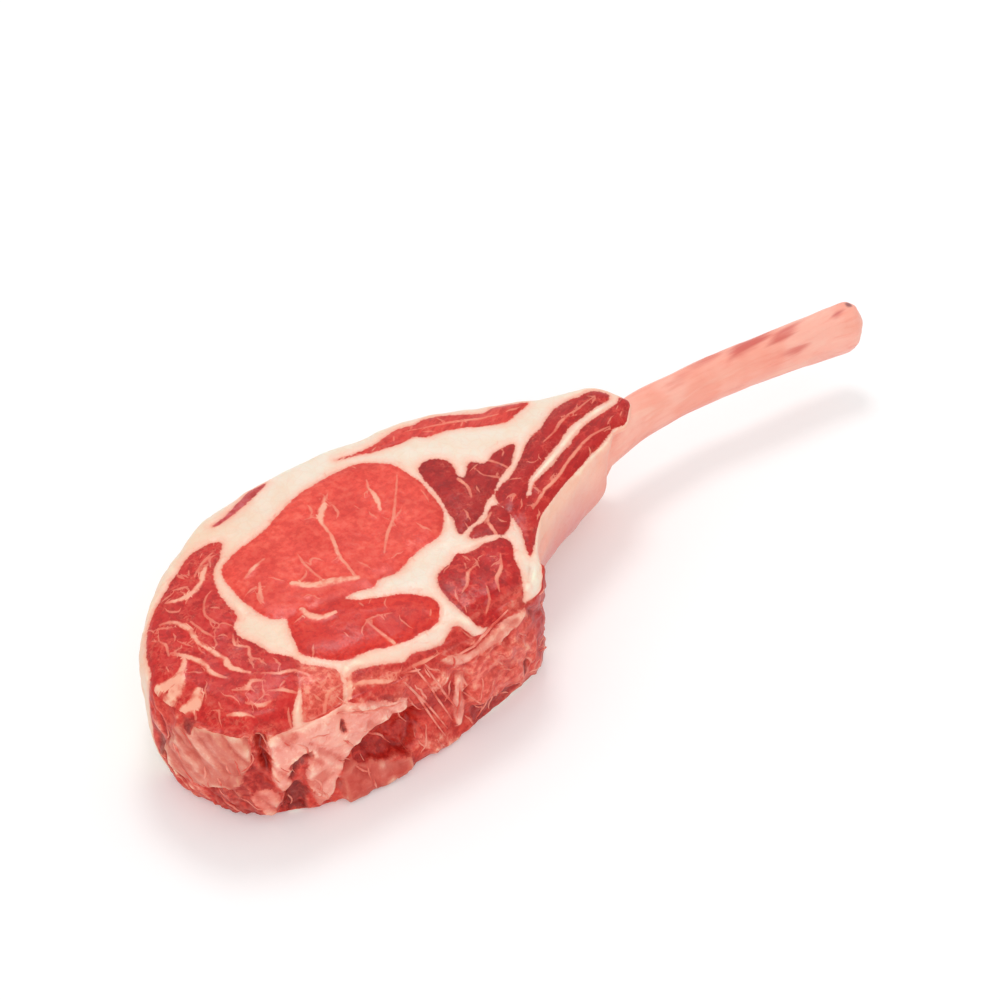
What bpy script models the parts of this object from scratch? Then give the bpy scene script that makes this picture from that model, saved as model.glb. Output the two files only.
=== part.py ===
"""A raw rib roast of one bone: a thick slab of beef lying on its lower cut face, with a long rib bone.

Metres, +Z up. The slab stands on z = 0 and the origin is on its underside, below the middle of the meat.
+X runs along the rib towards its bare end and +Y towards the fat cap on the outer side.
"""

import math

import bmesh
import bpy
from mathutils import Matrix, Vector

MM = 0.001
THICKNESS = 58 * MM  # one rib and the meat between it and the next
CROWN = 2 * MM  # how much lower the cut face is at its rim than in its middle
CROWN_REACH = 22 * MM
MOST_INSET = 0.85  # share of the way from the rim to the spine that a level may be set in
BASE_ROUND = 2.5 * MM
FOOT_RISE = 24 * MM  # height over which the wall comes out from its foot to the rim line
GAP = 0.3 * MM  # between the bone and the meat round it
POINTS_A_SPAN = 3
WALL_LEVELS = 8
ROUND_LEVELS = 4

RIB_HALF_WIDTH = 7.7 * MM
RIB_HALF_HEIGHT = 12.8 * MM
RIB_SIDES = 20
RIB_STEP = 6 * MM
TIP_ROUND = 9 * MM  # length over which the bone's free end closes
ROOT_ROUND = 5 * MM
BARE_FROM = 122 * MM  # where the skin over the rib's inner side stops
FLAP_UNDERSIDE = 51 * MM  # the meat over the bare rib starts at this height

# The rim seen from above, counter-clockwise from the tip of the tail:
# x, y, the radius of its top edge, and how far the foot is set in from it, all in millimetres.
RIM = [
    (146, -2, 4, 9),
    (140, 13, 4, 7),
    (128, 20, 5, 6),
    (112, 28, 5, 5),
    (95, 37, 5, 4),
    (78, 47, 5, 4),
    (60, 53, 5, 4),
    (40, 56, 5, 4),
    (20, 60.5, 5, 4),
    (0, 62, 5, 4),
    (-20, 61.5, 5, 4),
    (-40, 57, 5, 4),
    (-60, 48, 5, 4),
    (-78, 36, 6, 4),
    (-90, 24, 7, 4),
    (-100, 9, 8, 4),
    (-103, -4, 8, 4),
    (-101, -15, 8, 3),
    (-96, -29, 8, 3),
    (-88, -42, 7, 3),
    (-75, -47.5, 7, 0),
    (-55, -52, 8, -4.5),
    (-32, -57, 9, -3.5),
    (-10, -59.5, 9, -2.5),
    (13, -60.5, 9, 0),
    (33, -60, 8, 1.5),
    (46, -57, 6, 1),
    (53, -50, 4, 0),
    (56, -44, 3, 2),
    (61, -38, 3, 7),
    (70, -31, 3, 13),
    (80, -26.5, 3, 16),
    (90, -23, 3, 17),
    (100, -20, 3, 17),
    (110, -17.5, 3, 17),
    (120, -15.5, 3, 16),
    (127, -12.5, 3, 14),
    (133, -13, 2.5, 12),
    (140, -8.5, 3, 10),
]

# The middle line of the slab, towards which each level of the loft is drawn in.
SPINE = [(-55, -2), (40, -2), (122, 3)]

# Bulges and hollows of the chine side, where the backbone was cut away:
# x and height of the middle, half width, half height, and how far it stands out, in millimetres.
CHINE_RELIEF = [
    (-70, 36, 13, 20, 3.0),
    (-88, 44, 6, 14, -1.5),
    (-45, 40, 10, 9, 1.5),
    (-28, 22, 13, 13, -4.5),
    (2, 30, 12, 20, -1.5),
    (24, 30, 15, 17, 2.0),
    (45, 44, 9, 10, 1.5),
]

# The rib's middle line: x, y, z in millimetres, and its thickness against the half width and half height.
RIB_LINE = [
    (50, -36, 38, 0.85),
    (58, -28.5, 38, 0.97),
    (69, -20.5, 38, 1.0),
    (84, -13, 38, 1.0),
    (100, -9, 38, 1.0),
    (115, -5.5, 37.5, 1.0),
    (128, -2, 37, 1.0),
    (142, 1, 36.5, 1.0),
    (156, 2.3, 36, 0.98),
    (173, 1.8, 35.5, 0.96),
    (191, 0.5, 35, 0.97),
    (212, -3.6, 35, 0.98),
    (232, -7.2, 34.5, 1.0),
    (251, -11, 34, 1.04),
    (273, -16.5, 34, 1.08),
]


def clear_scene():
    for obj in list(bpy.data.objects):
        bpy.data.objects.remove(obj, do_unlink=True)


def new_collection(name, hidden=False):
    collection = bpy.data.collections.new(name)
    collection.hide_render = hidden
    bpy.context.scene.collection.children.link(collection)
    return collection


def principled(name, colour, roughness, metallic=0.0):
    material = bpy.data.materials.new(name)
    material.use_nodes = True
    shader = material.node_tree.nodes["Principled BSDF"]
    shader.inputs["Base Color"].default_value = (*colour, 1.0)
    shader.inputs["Roughness"].default_value = roughness
    shader.inputs["Metallic"].default_value = metallic
    return material


def smooth_step(value):
    value = min(max(value, 0.0), 1.0)
    return value * value * (3.0 - 2.0 * value)


def catmull_rom(before, start, end, after, share):
    """The point at this share of the span from start to end, for tuples of any length."""
    return tuple(
        0.5
        * (
            2 * b
            + (c - a) * share
            + (2 * a - 5 * b + 4 * c - d) * share**2
            + (3 * b - a - 3 * c + d) * share**3
        )
        for a, b, c, d in zip(before, start, end, after)
    )


def closed_line(corners, per_span):
    """A smooth closed line through the corners."""
    count = len(corners)
    return [
        catmull_rom(*(corners[(index + k) % count] for k in (-1, 0, 1, 2)), step / per_span)
        for index in range(count)
        for step in range(per_span)
    ]


def open_line(corners, length):
    """A smooth open line through the corners, with a point about every length."""
    ends = [corners[0], *corners, corners[-1]]
    line = []
    for index in range(1, len(ends) - 2):
        span = math.dist(ends[index][:3], ends[index + 1][:3])
        steps = max(1, round(span / length))
        line += [
            catmull_rom(*ends[index - 1 : index + 3], step / steps) for step in range(steps)
        ]
    return line + [corners[-1]]


def nearest_on_spine(point):
    best = None
    for start, end in zip(SPINE, SPINE[1:]):
        start = Vector(start) * MM
        along = Vector(end) * MM - start
        share = min(max((point - start).dot(along) / along.length_squared, 0.0), 1.0)
        place = start + along * share
        if best is None or (point - place).length < (point - best).length:
            best = place
    return best


def chine_relief(x, y, z):
    """How far the chine side stands out here. It fades away behind the front of the slab."""
    front = smooth_step((-y / MM - 36) / 10)
    total = 0.0
    for middle, height, half_width, half_height, out in CHINE_RELIEF:
        across = (x / MM - middle) / half_width
        up = (z / MM - height) / half_height
        total += out * MM * math.exp(-across * across - up * up)
    return total * front


def section(edge_round, foot, depth):
    """The slab's section at one place of the rim, from the underside to the middle of the cut face.

    Each item is how far the surface is set in from the rim line, and its height. The depth is how far
    the rim is from the spine there.
    """
    rim_height = THICKNESS - CROWN
    points = []
    for level in range(3):
        angle = math.radians(45 * level)
        points.append(
            (foot + BASE_ROUND * (1 - math.sin(angle)), BASE_ROUND * (1 - math.cos(angle)))
        )
    top_of_wall = rim_height - edge_round
    for level in range(1, WALL_LEVELS + 1):
        height = BASE_ROUND + (top_of_wall - BASE_ROUND) * level / WALL_LEVELS
        rise = min((height - BASE_ROUND) / FOOT_RISE, 1.0)
        points.append((foot * (1 - math.sin(math.pi / 2 * rise)), height))
    for level in range(1, ROUND_LEVELS + 1):
        angle = math.radians(90 * level / ROUND_LEVELS)
        points.append(
            (edge_round * (1 - math.cos(angle)), top_of_wall + edge_round * math.sin(angle))
        )
    reach = min(CROWN_REACH, MOST_INSET * depth - edge_round)
    for share in (0.35, 0.7, 1.0):
        height = rim_height + CROWN * smooth_step(reach * share / CROWN_REACH)
        points.append((edge_round + reach * share, height))
    return points


def loft(name, rings):
    """A closed body through the rings, which run from the underside up, with both ends filled."""
    body = bmesh.new()
    rows = [[body.verts.new(point) for point in ring] for ring in rings]
    for lower, upper in zip(rows, rows[1:]):
        count = len(lower)
        for index in range(count):
            after = (index + 1) % count
            body.faces.new((lower[index], lower[after], upper[after], upper[index]))
    caps = [body.faces.new(list(reversed(rows[0]))), body.faces.new(rows[-1])]
    bmesh.ops.triangulate(body, faces=caps)
    mesh = bpy.data.meshes.new(name)
    body.to_mesh(mesh)
    body.free()
    return mesh


def slab_mesh():
    columns = []
    for x, y, edge_round, foot in closed_line(RIM, POINTS_A_SPAN):
        rim = Vector((x, y)) * MM
        spine = nearest_on_spine(rim)
        inwards = spine - rim
        depth = inwards.length
        inwards.normalize()
        column = []
        for inset, height in section(edge_round * MM, foot * MM, depth):
            place = rim + inwards * min(inset, MOST_INSET * depth)
            place -= inwards * chine_relief(place.x, place.y, height)
            column.append((place.x, place.y, height))
        columns.append(column)
    return loft("meat", list(zip(*columns)))


def rib_curve(name, grow, collection):
    """The rib as a tube of oval section along its middle line, with rounded ends."""
    oval = bpy.data.curves.new(name + "_oval", "CURVE")
    outline = oval.splines.new("POLY")
    outline.use_cyclic_u = True
    outline.points.add(RIB_SIDES - 1)
    for side, point in enumerate(outline.points):
        angle = 2 * math.pi * side / RIB_SIDES
        across = (RIB_HALF_WIDTH + grow) * math.cos(angle)
        up = (RIB_HALF_HEIGHT + grow) * math.sin(angle)
        point.co = (across, up, 0.0, 1.0)
    profile = bpy.data.objects.new(name + "_oval", oval)
    profile.hide_render = True
    collection.objects.link(profile)

    line = open_line([(x * MM, y * MM, z * MM, size) for x, y, z, size in RIB_LINE], RIB_STEP)
    travelled = [0.0]
    for start, end in zip(line, line[1:]):
        travelled.append(travelled[-1] + math.dist(start[:3], end[:3]))
    length = travelled[-1]
    stations = [
        distance
        for distance in travelled
        if ROOT_ROUND < distance < length - TIP_ROUND
    ]
    for share in (0.0, 0.12, 0.35, 0.65, 1.0):
        stations.append(ROOT_ROUND * share)
        stations.append(length - TIP_ROUND * share)
    stations.sort()

    curve = bpy.data.curves.new(name, "CURVE")
    curve.dimensions = "3D"
    curve.twist_mode = "Z_UP"
    curve.bevel_mode = "OBJECT"
    curve.bevel_object = profile
    curve.use_fill_caps = True
    spline = curve.splines.new("POLY")
    spline.points.add(len(stations) - 1)
    for point, distance in zip(spline.points, stations):
        index = max(k for k, travel in enumerate(travelled[:-1]) if travel <= distance)
        share = (distance - travelled[index]) / (travelled[index + 1] - travelled[index])
        here = [a + (b - a) * share for a, b in zip(line[index], line[index + 1])]
        closing = min(distance / ROOT_ROUND, (length - distance) / TIP_ROUND, 1.0)
        point.co = (*here[:3], 1.0)
        point.radius = here[3] * max(0.25, math.sqrt(1 - (1 - closing) ** 2))
    obj = bpy.data.objects.new(name, curve)
    collection.objects.link(obj)
    return obj, profile


def rib_solid(name, grow, collection):
    """The rib's curve made a mesh, with its caps joined to its sides."""
    guide, profile = rib_curve(name + "_line", grow, collection)
    bpy.context.view_layer.update()
    graph = bpy.context.evaluated_depsgraph_get()
    mesh = bpy.data.meshes.new_from_object(guide.evaluated_get(graph))
    mesh.name = name
    body = bmesh.new()
    body.from_mesh(mesh)
    bmesh.ops.remove_doubles(body, verts=body.verts, dist=0.00001)
    bmesh.ops.recalc_face_normals(body, faces=body.faces)
    body.to_mesh(mesh)
    body.free()
    obj = bpy.data.objects.new(name, mesh)
    obj.matrix_world = guide.matrix_world
    collection.objects.link(obj)
    bpy.data.objects.remove(guide, do_unlink=True)
    bpy.data.objects.remove(profile, do_unlink=True)
    return obj


def trim_cutter(collection):
    """The block of space along the inner side of the bare rib, under the flap of meat over it."""
    first = Vector((BARE_FROM, -4 * MM, -2 * MM))
    last = Vector((160 * MM, 4 * MM, -2 * MM))
    along = last - first
    inwards = Vector((-along.y, along.x, 0)).normalized() * 40 * MM
    upwards = Vector((0, 0, FLAP_UNDERSIDE - first.z))
    corner = first - inwards
    axes = Matrix((along, inwards, upwards)).transposed().to_4x4()
    body = bmesh.new()
    bmesh.ops.create_cube(body, size=1.0)
    bmesh.ops.translate(body, verts=body.verts, vec=(0.5, 0.5, 0.5))
    bmesh.ops.transform(body, matrix=Matrix.Translation(corner) @ axes, verts=body.verts)
    mesh = bpy.data.meshes.new("rib_trim")
    body.to_mesh(mesh)
    body.free()
    cutter = bpy.data.objects.new("rib_trim", mesh)
    collection.objects.link(cutter)
    return cutter


def cut(target, cutter):
    cutter.display_type = "WIRE"
    cutter.hide_render = True
    boolean = target.modifiers.new("cut_" + cutter.name, "BOOLEAN")
    boolean.operation = "DIFFERENCE"
    boolean.solver = "EXACT"
    boolean.object = cutter


def shade(obj, material, sharp_degrees):
    obj.data.materials.clear()
    obj.data.materials.append(material)
    obj.data.shade_smooth()
    obj.data.set_sharp_from_angle(angle=math.radians(sharp_degrees))


def build():
    clear_scene()
    parts = new_collection("rib_roast")
    cutters = new_collection("cutters", hidden=True)
    meat_red = principled("raw_meat", (0.60, 0.07, 0.045), 0.4)
    bone_pink = principled("rib_bone", (0.93, 0.42, 0.33), 0.45)

    meat = bpy.data.objects.new("meat", slab_mesh())
    parts.objects.link(meat)
    shade(meat, meat_red, 60)

    rib = rib_solid("rib_bone", 0.0, parts)
    shade(rib, bone_pink, 60)

    cut(meat, trim_cutter(cutters))
    cut(meat, rib_solid("rib_channel", GAP, cutters))


build()
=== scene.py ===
import bpy
import numpy as np
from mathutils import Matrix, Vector
from mathutils.bvhtree import BVHTree


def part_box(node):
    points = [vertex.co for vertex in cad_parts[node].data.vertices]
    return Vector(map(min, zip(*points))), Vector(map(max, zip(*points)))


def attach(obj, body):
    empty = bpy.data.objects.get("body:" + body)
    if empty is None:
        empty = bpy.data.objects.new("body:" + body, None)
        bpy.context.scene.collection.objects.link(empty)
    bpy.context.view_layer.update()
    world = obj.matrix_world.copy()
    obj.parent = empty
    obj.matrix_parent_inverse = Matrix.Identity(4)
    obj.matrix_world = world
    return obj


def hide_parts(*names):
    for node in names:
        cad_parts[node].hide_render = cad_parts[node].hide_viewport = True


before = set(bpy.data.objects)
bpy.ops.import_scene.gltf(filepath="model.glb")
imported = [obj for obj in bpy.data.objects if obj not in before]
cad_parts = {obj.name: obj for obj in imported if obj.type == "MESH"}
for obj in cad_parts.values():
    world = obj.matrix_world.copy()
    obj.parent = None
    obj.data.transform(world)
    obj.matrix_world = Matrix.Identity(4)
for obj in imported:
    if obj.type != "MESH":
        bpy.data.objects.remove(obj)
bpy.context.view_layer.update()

# ---------------------------------------------------------------------------------------------------
# The slab of meat. One thick cut across the forerib: the big rib eye, the muscles round it, the fat
# cap and the fat seams all hang together as one moist mass. Its two large faces are clean knife cuts
# and its long near side is the rough one, where the backbone was sawn and pulled away.
# ---------------------------------------------------------------------------------------------------

MM = 0.001
SLAB_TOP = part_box("meat")[1][2] / MM
TOP_RISE = 1.2  # mm that the relief may stand above the cut face
MESH_STEP = 1.05 * MM
WELD = 0.02 * MM
REACH = 14.0  # mm beyond a muscle's outline that its depth is still worked out
NEAR = 4.0  # mm beside a strand that it is still looked for
SEAM = 1.2  # mm over which two muscles' colours run into each other
STRAND_STEP = 1.5  # mm
RIB_NEAR = 7.0  # mm round the rib where the gap to it is measured
NO_RIB = 20.0  # stands for the gap, in mm, everywhere else
BURIED = -3.0  # the depth in lean, in mm, of a place that is under skin


def smooth_line(corners, steps, closed=False):
    """Points along a smooth line through the corners."""
    corners = np.asarray(corners, float)
    if closed:
        padded = np.vstack([corners[-1:], corners, corners[:2]])
    else:
        padded = np.vstack([corners[:1], corners, corners[-1:]])
    share = np.linspace(0, 1, steps, endpoint=False)[:, None]
    spans = []
    for a, b, c, d in zip(padded, padded[1:], padded[2:], padded[3:]):
        curve = 2 * b + (c - a) * share + (2 * a - 5 * b + 4 * c - d) * share**2
        spans.append(0.5 * (curve + (3 * b - a - 3 * c + d) * share**3))
    line = np.vstack(spans)
    return line if closed else np.vstack([line, corners[-1:]])


def depth_inside(places, corners):
    """How deep each place lies inside a smooth closed outline, in mm, and less than zero outside."""
    line = smooth_line(corners, 4, closed=True)
    depth = np.full(len(places), -REACH)
    close = ((places > line.min(0) - REACH) & (places < line.max(0) + REACH)).all(axis=1)
    near = places[close]
    gap = np.full(len(near), REACH**2)
    inside = np.zeros(len(near), bool)
    for start, end in zip(line, np.roll(line, -1, axis=0)):
        along = end - start
        away = near - start
        share = np.clip(away @ along / (along @ along), 0, 1)
        gap = np.minimum(gap, ((away - share[:, None] * along) ** 2).sum(axis=1))
        level = (start[1] > near[:, 1]) != (end[1] > near[:, 1])
        run = along[0] / along[1] if along[1] else 0.0
        inside ^= level & (near[:, 0] < start[0] + away[:, 1] * run)
    depth[close] = np.where(inside, 1.0, -1.0) * np.sqrt(gap)
    return depth


def along_strand(places, strands):
    """For each place: the offset across the nearest strand as a share of its half width, how far outside
    that strand the place is, and its half width, in mm. A strand is a list of (x, y, width)."""
    gap = np.full(len(places), REACH)
    across = np.full(len(places), REACH)
    thickness = np.zeros(len(places))
    for corners in strands:
        line = smooth_line(corners, 3)
        close = np.flatnonzero(
            ((places > line[:, :2].min(0) - NEAR) & (places < line[:, :2].max(0) + NEAR)).all(axis=1)
        )
        near = places[close]
        for start, end in zip(line, line[1:]):
            along = end[:2] - start[:2]
            away = near - start[:2]
            share = np.clip(away @ along / (along @ along), 0, 1)
            half = 0.5 * (start[2] + (end[2] - start[2]) * share)
            here = np.sqrt(((away - share[:, None] * along) ** 2).sum(axis=1)) - half
            side = (away[:, 0] * along[1] - away[:, 1] * along[0]) / np.sqrt(along @ along)
            nearer = here < gap[close]
            gap[close[nearer]] = here[nearer]
            across[close[nearer]] = (side / half)[nearer]
            thickness[close[nearer]] = half[nearer]
    return across, gap, thickness


def cloud(points, size, seed):
    """Smooth lumps about this size, from -1 to 1."""
    table = np.random.default_rng(seed).uniform(-1, 1, (48, 48, 48))
    place = np.asarray(points) / size + 200.0
    cell = np.floor(place).astype(int)
    share = place - cell
    share = share * share * (3 - 2 * share)
    total = np.zeros(len(place))
    for corner in np.ndindex(2, 2, 2):
        weight = np.prod(np.where(corner, share, 1 - share), axis=1)
        index = (cell + corner) % 48
        total += weight * table[index[:, 0], index[:, 1], index[:, 2]]
    return total


def ramp(value, low, high):
    share = np.clip((value - low) / (high - low), 0, 1)
    return share * share * (3 - 2 * share)


def linear(red, green, blue):
    """A colour written as on a screen, 0 to 255, made linear."""
    return tuple(
        (c / 255 / 12.92) if c <= 10 else ((c / 255 + 0.055) / 1.055) ** 2.4
        for c in (red, green, blue)
    )


# Muscles as they lie in the cut face, seen from above in mm: colour, how much fat runs through the
# lean (0 to 1), and the outline.
MUSCLES = {
    "rib_eye": (
        (238, 74, 58), 0.30,
        [(-46, 29), (-38, 33), (-28, 34.5), (-18, 36.5), (-8, 40), (2, 42.5), (14, 43.5), (26, 43),
         (33, 40.5), (39, 36), (42.5, 30), (44, 22), (44, 12), (42.5, 3), (40, -4), (36, -9),
         (30, -13), (22, -13.5), (14, -14.5), (6, -17.5), (-2, -16), (-7, -18), (-13, -15),
         (-24, -15), (-38, -14), (-43, -8.5), (-47, -5), (-49.5, 0), (-50, 7), (-50, 14), (-49, 22)],
    ),
    "lower_eye": (
        (222, 40, 24), 0.45,
        [(-42, -8), (-45, -13.5), (-48, -20), (-49.5, -26), (-47, -31), (-42.5, -36), (-38, -39.5),
         (-32, -40.6), (-28, -41.5), (-22, -44), (-15, -46.5), (-8, -47), (0, -47), (5, -44), (7, -39),
         (5, -34), (0, -28.5), (-6, -25), (-12, -21.5), (-17, -18), (-24, -10), (-33, -8)],
    ),
    "cap": (
        (208, 30, 24), 1.0,
        [(-37, 42), (-42, 45), (-50, 45.5), (-60, 40.5), (-70, 35), (-80, 29), (-90, 20),
         (-95, 11), (-99, 4), (-110, 0), (-112, -20), (-104, -44), (-90, -56), (-76, -56),
         (-69, -45), (-64, -41), (-58, -37), (-53, -31), (-53, -27), (-56, -22), (-59, -17),
         (-60, -10), (-62, -4), (-61, 2), (-57, 4), (-56, 10), (-55, 18), (-52, 26), (-48, 32),
         (-42, 36)],
    ),
    "chine_strip": (
        (212, 56, 46), 0.75,
        [(-64, -52), (-58, -53), (-50, -53), (-45.5, -50), (-43, -45.5), (-39, -44.8), (-33.5, -46.8),
         (-26, -50), (-20, -52.3), (-16, -51.6), (-9, -54), (-3, -54.8), (1, -53), (4, -51.5),
         (7, -52.5), (10, -58), (13, -70), (-66, -70)],
    ),
    "pink_wedge": (
        (240, 112, 92), 0.55,
        [(-54, -29.5), (-50.5, -32), (-47.5, -35.5), (-44, -41), (-45.5, -46), (-49, -51),
         (-54, -60), (-68, -60), (-67, -49), (-61.5, -42), (-58.5, -34)],
    ),
    "small_eye": (
        (194, 14, 10), 0.65,
        [(13, -33), (17, -29), (24, -27.5), (29, -25), (34, -27.5), (42, -28), (48, -30),
         (50.5, -33), (48, -38), (45, -43), (42, -50), (37, -57), (31, -60), (24, -60),
         (16, -58), (12.5, -52), (11.5, -44), (11.8, -38)],
    ),
    "tail": (
        (178, 10, 6), 0.50,
        [(48, 21), (52, 23.5), (56, 23), (60, 19), (60.5, 14), (58.5, 8), (60, 6), (63, 8.5),
         (67, 11.5), (70, 8), (73, 6.5), (77, 8.5), (82, 9), (88, 7.5), (84, 3), (79, -1),
         (70, -4), (64, -8), (57, -11), (52, -15), (47, -16.5), (42, -17), (37.5, -18),
         (39, -13), (41, -8), (43, -2), (45, 6), (46.5, 14)],
    ),
    "tail_heel": (
        (186, 16, 10), 0.5,
        [(39, -21), (44, -18.5), (50, -18), (54, -15.5), (58, -14), (60, -17), (60, -22),
         (57, -26), (51, -29), (48, -27), (44, -25), (40, -23.5)],
    ),
    "rib_strip_outer": (
        (188, 14, 10), 0.55,
        [(62, -11), (68, -7.5), (74, -6), (80, -3), (86, 0), (92, 4), (98, 6.5), (104, 8),
         (110, 11), (116, 13.5), (124, 14), (130, 12.5), (134, 12.5), (138, 9.5), (139.5, 6),
         (138, 3), (134, 2.5), (128, 2), (120, 1.5), (112, 0), (104, -3), (96, -6), (90, -8.5),
         (84, -10.5), (79, -12.5), (74, -17), (66, -24), (60, -22)],
    ),
    "rib_strip_inner": (
        (192, 18, 12), 0.55,
        [(52, -43.5), (55, -37), (58, -31), (60, -24), (62, -18), (68, -15), (74, -18.5),
         (79, -15), (84, -13.8), (92, -11.8), (100, -9), (108, -6.2), (116, -3.2), (124, -2),
         (132, -1.6), (138, -1), (142, 1), (145.5, -1.5), (142.5, -5.5), (138, -9), (134, -12.5),
         (131, -12.6), (127, -11.5), (120, -13.8), (112, -15.6), (104, -18), (96, -20.5),
         (90, -22.4), (84, -24.4), (76, -27), (69, -30.5), (64, -35), (58, -39.5)],
    ),
    "outer_strip": (
        (222, 58, 46), 0.45,
        [(27, 49.5), (38, 47), (46, 46.5), (54, 47.5), (60, 47), (66, 44.5), (72, 44.5),
         (79, 41), (85, 36.5), (91, 32), (98, 31.5), (103, 29.5), (108, 26.5), (110, 24),
         (104, 22), (96, 20.5), (90, 22), (84, 26), (78, 30), (70, 33), (64, 34.5), (60, 38.5),
         (54, 39), (48, 41), (41, 43), (33, 47)],
    ),
    "shoulder_strip": (
        (205, 75, 78), 0.4,
        [(-34, 51.8), (-28, 53), (-22, 55), (-15, 57.8), (-8, 59.5), (-2, 58.6), (-8, 55.8),
         (-15, 54), (-22, 52.4), (-28, 51.4)],
    ),
}

# Fat that runs through the lean as strands: x, y and width in mm.
STRANDS = [
    [(-40.5, -42, 2.0), (-42.5, -46, 2.8), (-45.5, -50, 2.2), (-48, -54, 1.0)],
    [(-46, -48.5, 0.8), (-38.5, -50.5, 1.4), (-31, -54, 1.6), (-25, -57.5, 1.0)],
    [(-18, -55.5, 0.8), (-11, -57, 1.4), (-4, -58, 1.0)],
    [(-60, -52, 1.0), (-54, -47, 1.2), (-48, -46.5, 0.8)],
    [(-30, 4, 2.0), (-26.5, 0, 2.8), (-22, -3.5, 3.0), (-17, -5.5, 3.4), (-12, -8.5, 3.0), (-9, -10, 1.5)],
    [(-9, -9, 1.2), (-8, -2, 1.2), (-7, 4, 1.4), (-4.5, 10, 1.5), (-2, 16, 1.2), (-1, 22, 1.6),
     (1, 26, 2.6), (5, 29.5, 2.6), (8.5, 33, 1.2)],
    [(28, 30, 0.6), (25.5, 25, 1.4), (24.5, 19, 2.2), (22, 14, 1.4)],
    [(39, 24, 0.6), (31, 15, 1.0), (22, 6, 1.2), (14, 0, 1.2), (8, -6, 0.7)],
    [(-36, -9.5, 2.2), (-35.5, -14, 2.8), (-32, -17.5, 2.8), (-27.5, -18.5, 1.6)],
    [(-45, 4, 1.0), (-42.5, 9, 1.4), (-40, 12.5, 1.0)],
    [(-20, -1, 0.8), (-20.5, 8, 1.2), (-19, 15, 0.6)],
    [(-42, 19, 0.8), (-36, 21, 1.6), (-31, 22, 0.8)],
    [(-11, -33, 0.5), (-20, -30, 0.9), (-20, -38, 1.2), (-19, -44, 1.6)],
    [(-49, 35, 1.2), (-52.5, 33, 2.0), (-56, 29, 2.0), (-62, 26.5, 2.4), (-68, 27, 2.0), (-72.5, 29.5, 1.0)],
    [(-44, 39, 0.8), (-50, 37, 1.2), (-56, 33.5, 0.8)],
    [(-81, 21.5, 1.0), (-77, 19, 2.0), (-75, 14, 2.2), (-75, 9, 2.0), (-76.5, 4, 1.5), (-75, -4, 2.2),
     (-74, -10, 2.2), (-74.5, -15, 2.2), (-71, -21, 1.4)],
    [(-72, 14, 0.8), (-71.5, 7, 1.2), (-70.5, 2, 0.8)],
    [(-86, 6, 1.0), (-83, 0, 2.0), (-81, -6, 2.2), (-81.5, -12, 1.8), (-79, -17, 1.0)],
    [(-99, -2, 3.0), (-94, -5, 4.0), (-89, -3, 2.6), (-85, 1, 1.6)],
    [(-99, -9, 5.5), (-95, -8, 5.0), (-91, -6, 2.0)],
    [(-99, -16, 3.0), (-94, -17.5, 4.6), (-90.5, -15, 3.0)],
    [(-64, -2, 0.8), (-66.5, -7, 1.4), (-63.5, -11, 1.2), (-66, -16, 1.2), (-63, -19, 0.6)],
    [(-80, -24, 0.8), (-76, -27, 1.4), (-73, -25, 1.4), (-69, -28, 0.8)],
    [(-88, -31, 0.8), (-84.5, -34, 1.8), (-82, -38, 0.8)],
    [(-80, -32, 0.8), (-77, -36, 1.6), (-73, -37, 0.8)],
    [(-67, -25, 0.6), (-62, -29, 1.4), (-57, -31, 1.4), (-54, -36, 1.0)],
    [(-70, -33, 0.6), (-66, -36, 1.4), (-63, -39, 1.0)],
    [(-57, 22, 0.5), (-62, 19, 0.9), (-66, 13, 0.9), (-65, 6, 0.6)],
    [(-88, 17, 0.6), (-86, 12, 1.2), (-88, 7, 0.8)],
    [(137, 0.5, 1.6), (128, -0.2, 2.4), (118, -1.4, 2.6), (108, -4.5, 2.4), (98, -8, 2.2),
     (90, -10.2, 2.0), (84, -12.2, 1.8), (78, -15, 1.2), (72, -19, 0.7)],
    [(126, -9.5, 0.6), (116, -9.3, 1.0), (108, -11, 1.2), (98, -14.5, 1.2), (90, -17.8, 1.2),
     (80, -20.5, 1.4), (70, -25, 0.8)],
    [(132, 7.5, 0.5), (122, 6, 1.0), (113, 5, 1.2), (106, 2, 1.0), (98, 0, 0.6)],
    [(18, -42, 0.5), (22, -40, 1.2), (26, -36, 1.4), (31, -35, 0.6)],
    [(30, -50, 0.5), (33, -45, 1.3), (38, -42, 1.3), (42, -37, 0.6)],
    [(20, -54, 0.6), (24, -51, 1.1), (27, -46, 0.6)],
    [(57, 6, 1.6), (56.5, 0, 1.2), (54, -5, 0.8)],
    [(70, -3, 1.0), (66, 1, 0.8), (66, 5, 0.6)],
    [(77, -2, 1.0), (75, 3, 1.0), (74, 6, 1.2)],
    [(54, -17, 1.0), (50, -20, 1.4), (48.5, -27, 1.2)],
    [(95, 26, 0.5), (87, 29, 1.2), (79, 34, 1.2), (70, 38, 0.8), (60, 43, 0.5)],
]

# Short strands that each muscle gets as well: how many, and the most steps that one takes.
FINE_STRANDS = {
    "rib_eye": (24, 6), "lower_eye": (10, 5), "cap": (60, 6), "chine_strip": (16, 4),
    "pink_wedge": (6, 3), "small_eye": (9, 3), "tail": (8, 3), "tail_heel": (2, 2),
    "rib_strip_outer": (10, 3), "rib_strip_inner": (12, 3), "outer_strip": (8, 4),
}

# The chine side unrolled. Its rim seen from above, and patches on it as (along the rim, height) in mm,
# where the distance along the rim starts at the slab's far left.
CHINE_RIM = [
    (-100, 9), (-103, -4), (-101, -15), (-96, -29), (-88, -43), (-75, -48), (-55, -52), (-32, -57),
    (-10, -59.5), (13, -60.5), (33, -60), (46, -57), (53, -50), (56, -44),
]
CHINE_START = 13.4  # mm from the rim's first point to where that distance is zero
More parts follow.
